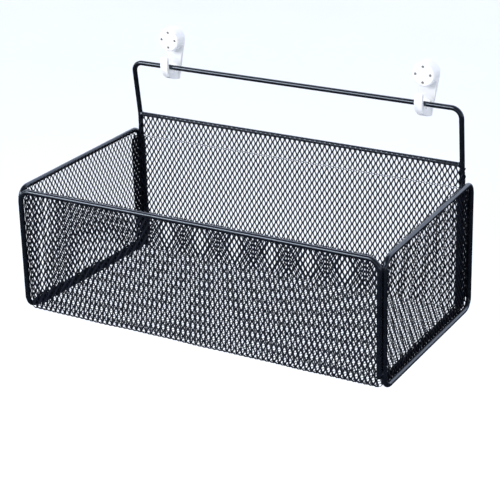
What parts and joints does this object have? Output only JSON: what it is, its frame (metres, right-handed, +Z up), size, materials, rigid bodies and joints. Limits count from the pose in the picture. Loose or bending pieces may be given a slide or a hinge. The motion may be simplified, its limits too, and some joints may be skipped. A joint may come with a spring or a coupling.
{
  "type": "hanging file rack",
  "caption": "Open wire-framed basket of expanded metal mesh for files, hung by its top rail in white plastic wall hooks that are nailed to the wall.",
  "frame": {"origin": "on the wall face, midway between the hooks, at the height of the axis of the top rail", "axes": "+X along the top rail to the right, +Y into the wall, +Z up"},
  "size_m": [0.3604, 0.1937, 0.2234],
  "materials": {
    "black_wire": "satin black powder coat",
    "black_mesh": "satin black powder coat on expanded mesh",
    "white_plastic": "white moulded plastic",
    "nail_steel": "hardened steel"
  },
  "bodies": {
    "wall_hooks": {"left_hook": "white_plastic", "right_hook": "white_plastic", "left_nail_1": "nail_steel", "left_nail_2": "nail_steel", "left_nail_3": "nail_steel", "left_nail_4": "nail_steel", "right_nail_1": "nail_steel", "right_nail_2": "nail_steel", "right_nail_3": "nail_steel", "right_nail_4": "nail_steel"},
    "basket": {"rear_frame_wire": "black_wire", "back_top_rod": "black_wire", "front_frame_wire": "black_wire", "mesh_wrap": "black_mesh", "left_side_frame": "black_wire", "right_side_frame": "black_wire", "left_side_mesh": "black_mesh", "right_side_mesh": "black_mesh"}
  },
  "joints": [
    {"name": "basket_swing", "type": "hinge", "parent": "wall_hooks", "child": "basket", "pos_m": [0, -0.015, 0], "axis": [-1, 0, 0], "range_deg": [0, 90]}
  ]
}
